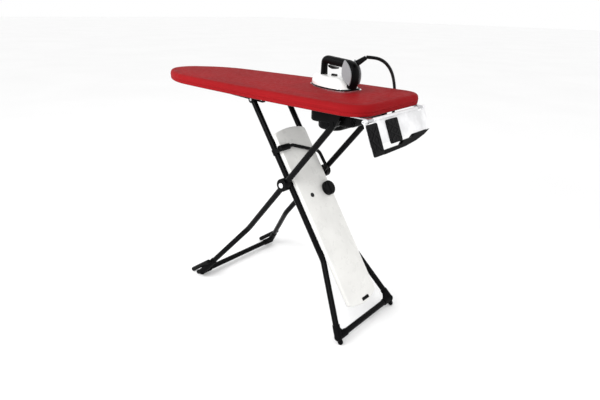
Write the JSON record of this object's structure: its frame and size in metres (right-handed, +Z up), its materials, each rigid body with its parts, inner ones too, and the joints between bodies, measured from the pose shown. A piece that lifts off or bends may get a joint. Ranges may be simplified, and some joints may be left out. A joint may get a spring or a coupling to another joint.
{
  "type": "steam ironing station",
  "caption": "Padded ironing board on a folding X stand, with a steam generator hung between its legs, an under-board blower, an iron rest and a corded iron.",
  "frame": {"origin": "on the floor, centred under the whole station in X and Y (the steam hose not counted)", "axes": "+X along the board from its narrow nose to its wide end with the iron rest, +Y across the board away from the user's side that faces the generator, +Z up from the floor"},
  "size_m": [1.1753, 0.474, 0.9725],
  "materials": {
    "cover_cloth": "matte",
    "foam": "matte",
    "pan_paint": "satin",
    "plate_paint": "satin",
    "black_plastic": "matte",
    "gloss_black": "gloss",
    "leg_paint": "satin",
    "bracket_steel": "satin",
    "axle_steel": "satin",
    "cap_chrome": "polished",
    "foot_rubber": "matte",
    "shell_plastic": "satin",
    "back_plastic": "satin",
    "tank_steel": "satin",
    "tank_plastic": "satin",
    "motor_steel": "satin",
    "board_green": "satin",
    "lamp_dark": "gloss",
    "bail_steel": "satin",
    "plate_white": "satin",
    "silicone": "matte",
    "sole_metal": "polished",
    "iron_white": "gloss",
    "panel_grey": "satin",
    "hose_rubber": "matte"
  },
  "bodies": {
    "board": {"board_pan": "pan_paint", "perforated_plate": "plate_paint", "foam_pad": "foam", "board_cover": "cover_cloth", "blower_housing_upper": "black_plastic", "blower_housing_lower": "black_plastic", "blower_motor": "motor_steel", "hinge_brackets": "leg_paint", "hinge_pins": "leg_paint", "slide_rail_near": "leg_paint", "slide_rail_far": "leg_paint", "latch_bracket": "bracket_steel", "rest_brackets": "bracket_steel", "hose_gland": "black_plastic", "steam_hose": "hose_rubber"},
    "impeller": {"blower_impeller": "black_plastic"},
    "latch": {"height_latch": "black_plastic"},
    "rest": {"rest_plate": "plate_white", "rest_strip_near": "silicone", "rest_strip_far": "silicone", "rest_heel_stop": "black_plastic"},
    "outer_frame": {"b_leg_near": "leg_paint", "b_leg_far": "leg_paint", "b_foot_bar": "leg_paint", "b_foot_cap_near": "foot_rubber", "b_foot_cap_far": "foot_rubber", "b_hub_bosses": "black_plastic", "pivot_pins": "axle_steel", "pivot_caps": "cap_chrome"},
    "inner_frame": {"a_leg_near": "leg_paint", "a_leg_far": "leg_paint", "a_foot_bar": "leg_paint", "a_foot_cap_near": "foot_rubber", "a_foot_cap_far": "foot_rubber", "a_hub_collars": "black_plastic", "a_top_axle": "axle_steel", "generator_clamps": "black_plastic", "generator_front_cover": "shell_plastic", "generator_back_cover": "back_plastic", "generator_screws": "axle_steel", "boiler_tank": "tank_steel", "water_tank": "tank_plastic", "water_pump": "motor_steel", "control_board": "board_green", "mains_inlet": "black_plastic", "filler_ring": "shell_plastic", "indicator_lamp": "lamp_dark", "bail_sleeve": "black_plastic"},
    "rollers": {"slide_rollers": "black_plastic"},
    "knob": {"filler_knob": "gloss_black"},
    "rocker": {"rocker_switch": "gloss_black"},
    "bail": {"generator_bail": "bail_steel"},
    "iron": {"iron_soleplate": "sole_metal", "iron_skirt": "black_plastic", "iron_shell": "iron_white", "iron_handle": "black_plastic", "iron_side_panels": "panel_grey", "iron_lamp": "gloss_black", "iron_strain_relief": "hose_rubber"},
    "trigger": {"steam_trigger": "gloss_black"}
  },
  "joints": [
    {"name": "fold", "type": "hinge", "parent": "board", "child": "outer_frame", "pos_m": [0.38156, 0, 0.77065], "axis": [0, 1, 0], "range_deg": [0, 35]},
    {"name": "hub_fold", "type": "hinge", "parent": "outer_frame", "child": "inner_frame", "pos_m": [0.16567, 0, 0.508], "axis": [0, 1, 0], "range_deg": [-70, 0]},
    {"name": "roller_spin", "type": "hinge", "parent": "inner_frame", "child": "rollers", "pos_m": [-0.02313, 0, 0.79077], "axis": [0, 1, 0], "continuous": true},
    {"name": "impeller_spin", "type": "hinge", "parent": "board", "child": "impeller", "pos_m": [0.32616, 0, 0.748], "axis": [0, 0, 1], "continuous": true},
    {"name": "latch_release", "type": "hinge", "parent": "board", "child": "latch", "pos_m": [0.03687, 0, 0.801], "axis": [0, 1, 0], "range_deg": [0, 8.5], "stiffness_Nm_per_rad": 1, "springref_deg": -11.46},
    {"name": "rest_raise", "type": "hinge", "parent": "board", "child": "rest", "pos_m": [0.54066, 0, 0.812], "axis": [0, -1, 0], "range_deg": [0, 50]},
    {"name": "bail_swing", "type": "hinge", "parent": "inner_frame", "child": "bail", "pos_m": [0.13188, 0, 0.63514], "axis": [0, -1, 0], "range_deg": [0, 18]},
    {"name": "knob_turn", "type": "hinge", "parent": "inner_frame", "child": "knob", "pos_m": [0.23975, 0.052, 0.46908], "axis": [0.8317, 0, 0.5553], "range_deg": [0, 90]},
    {"name": "rocker_press", "type": "hinge", "parent": "inner_frame", "child": "rocker", "pos_m": [0.46687, 0.005, 0.11091], "axis": [-0.5553, 0, 0.8317], "range_deg": [0, 10]},
    {"name": "iron_glide", "type": "slide", "parent": "board", "child": "iron", "axis": [-0.9848, 0.1736, 0], "range_m": [0, 0.1]},
    {"name": "trigger_pull", "type": "hinge", "parent": "iron", "child": "trigger", "pos_m": [0.24277, 0.02602, 0.9293], "axis": [-0.1736, -0.9848, 0], "range_deg": [0, 4.5], "stiffness_Nm_per_rad": 0.5, "springref_deg": -5.73}
  ],
  "couplings": [
    {"joint": "hub_fold", "follows": "fold", "ratio": -2}
  ]
}
